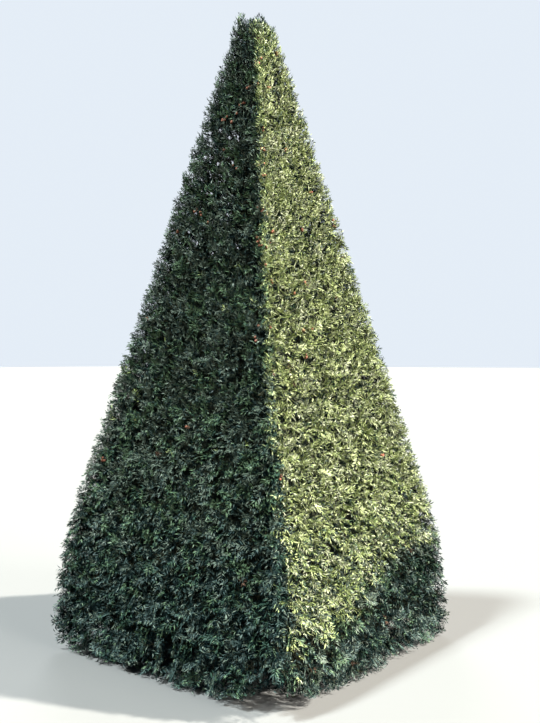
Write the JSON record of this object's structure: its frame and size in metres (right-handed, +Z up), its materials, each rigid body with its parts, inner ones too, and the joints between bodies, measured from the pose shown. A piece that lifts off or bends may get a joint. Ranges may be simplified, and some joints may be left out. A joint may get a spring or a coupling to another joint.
{
  "type": "yew clipped to a four-sided pyramid, rooted in the ground",
  "caption": "Tall yew clipped to a slim square pyramid: one trunk, boughs to the corners, and a dense shell of needle sprays with red arils",
  "frame": {"origin": "the middle of the flat cut under the trunk, at ground level", "axes": "+Z up along the trunk; the pyramid's four faces look along +X, -X, +Y and -Y, and its arrises are at the diagonals; the picture is taken from the front right corner, between +X and -Y"},
  "size_m": [1.5, 1.505, 3.441],
  "materials": {
    "bark": "flaky reddish brown bark, matt",
    "foliage": "dark green needles, satin"
  },
  "bodies": {
    "root": {"trunk": "bark", "bough_front_right_lower": "bark", "bough_front_right_middle": "bark", "bough_front_right_upper": "bark", "bough_back_right_lower": "bark", "bough_back_right_middle": "bark", "bough_back_right_upper": "bark", "bough_back_left_lower": "bark", "bough_back_left_middle": "bark", "bough_back_left_upper": "bark", "bough_front_left_lower": "bark", "bough_front_left_middle": "bark", "bough_front_left_upper": "bark", "foliage_front_right_lower": "foliage", "foliage_front_right_middle": "foliage", "foliage_front_right_upper": "foliage", "foliage_back_right_lower": "foliage", "foliage_back_right_middle": "foliage", "foliage_back_right_upper": "foliage", "foliage_back_left_lower": "foliage", "foliage_back_left_middle": "foliage", "foliage_back_left_upper": "foliage", "foliage_front_left_lower": "foliage", "foliage_front_left_middle": "foliage", "foliage_front_left_upper": "foliage", "foliage_tip": "foliage"}
  },
  "joints": []
}
